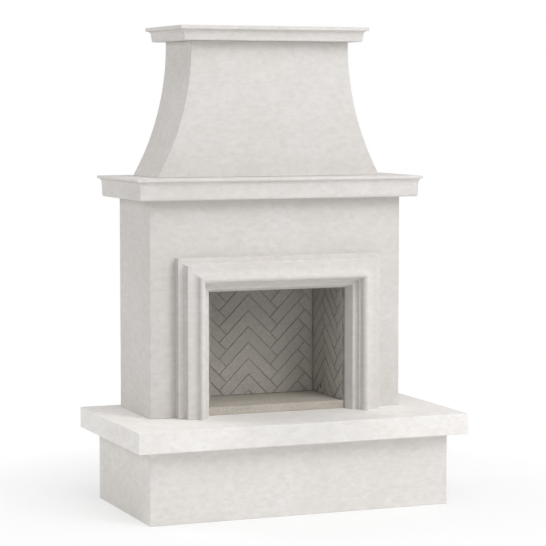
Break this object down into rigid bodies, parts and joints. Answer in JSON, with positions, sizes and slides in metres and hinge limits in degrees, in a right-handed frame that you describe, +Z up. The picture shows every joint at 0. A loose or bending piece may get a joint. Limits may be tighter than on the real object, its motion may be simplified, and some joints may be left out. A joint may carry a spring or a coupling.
{
  "type": "outdoor fireplace",
  "caption": "Free-standing outdoor fireplace of cast concrete with a raised hearth, moulded surround and mantel, a flared chimney, a herringbone brick firebox and a throat damper.",
  "frame": {"origin": "centre of the footprint, on the floor under the base", "axes": "+Z up, the mouth of the firebox faces -Y, +X to the right of someone facing the mouth"},
  "size_m": [1.924, 1.075, 2.657],
  "materials": {
    "cast_concrete": "matte",
    "bearer_concrete": "matte",
    "refractory": "matte",
    "insulation_board": "matte",
    "galvanised_steel": "satin",
    "stainless_steel": "satin",
    "cast_iron": "matte"
  },
  "bodies": {
    "fireplace": {"body_foot_left_bolt_flat": "galvanised_steel", "body_foot_left_bolt_wall": "galvanised_steel", "body_foot_left_bracket": "galvanised_steel", "body_foot_right_bolt_flat": "galvanised_steel", "body_foot_right_bolt_wall": "galvanised_steel", "body_foot_right_bracket": "galvanised_steel", "body_shell": "cast_concrete", "chimney_cap": "cast_concrete", "chimney_foot_left_bolt_flat": "galvanised_steel", "chimney_foot_left_bolt_wall": "galvanised_steel", "chimney_foot_left_bracket": "galvanised_steel", "chimney_foot_right_bolt_flat": "galvanised_steel", "chimney_foot_right_bolt_wall": "galvanised_steel", "chimney_foot_right_bracket": "galvanised_steel", "chimney_shell": "cast_concrete", "damper_frame": "cast_iron", "firebox_back_wall": "refractory", "firebox_casing": "galvanised_steel", "firebox_floor": "refractory", "firebox_left_wall": "refractory", "firebox_right_wall": "refractory", "flue_locking_band": "galvanised_steel", "flue_pipe_lower": "stainless_steel", "flue_pipe_upper": "stainless_steel", "flue_spacer": "galvanised_steel", "flue_top_flange": "stainless_steel", "flue_transition": "stainless_steel", "gas_sleeve": "galvanised_steel", "hearth_base_shell": "cast_concrete", "hearth_bearer_left": "bearer_concrete", "hearth_bearer_right": "bearer_concrete", "hearth_slab": "cast_concrete", "insulation_back": "insulation_board", "insulation_left": "insulation_board", "insulation_right": "insulation_board", "lintel_angle": "galvanised_steel", "lintel_bolt_left": "galvanised_steel", "lintel_bolt_right": "galvanised_steel", "mantel_left_bolt_flat": "galvanised_steel", "mantel_left_bolt_wall": "galvanised_steel", "mantel_left_bracket": "galvanised_steel", "mantel_right_bolt_flat": "galvanised_steel", "mantel_right_bolt_wall": "galvanised_steel", "mantel_right_bracket": "galvanised_steel", "mantel_shelf": "cast_concrete", "smoke_dome": "galvanised_steel", "spark_screen": "stainless_steel", "surround_head": "cast_concrete", "surround_left_jamb": "cast_concrete", "surround_right_jamb": "cast_concrete"},
    "damper": {"damper_blade": "cast_iron", "damper_shaft": "galvanised_steel", "damper_lever": "cast_iron", "damper_lever_bolt": "galvanised_steel", "damper_pin_left": "galvanised_steel", "damper_pin_right": "galvanised_steel", "damper_collar_left": "galvanised_steel", "damper_collar_right": "galvanised_steel"}
  },
  "joints": [
    {"name": "damper_hinge", "type": "hinge", "parent": "fireplace", "child": "damper", "pos_m": [0, 0.2223, 1.4513], "axis": [1, 0, 0], "range_deg": [0, 80]}
  ]
}
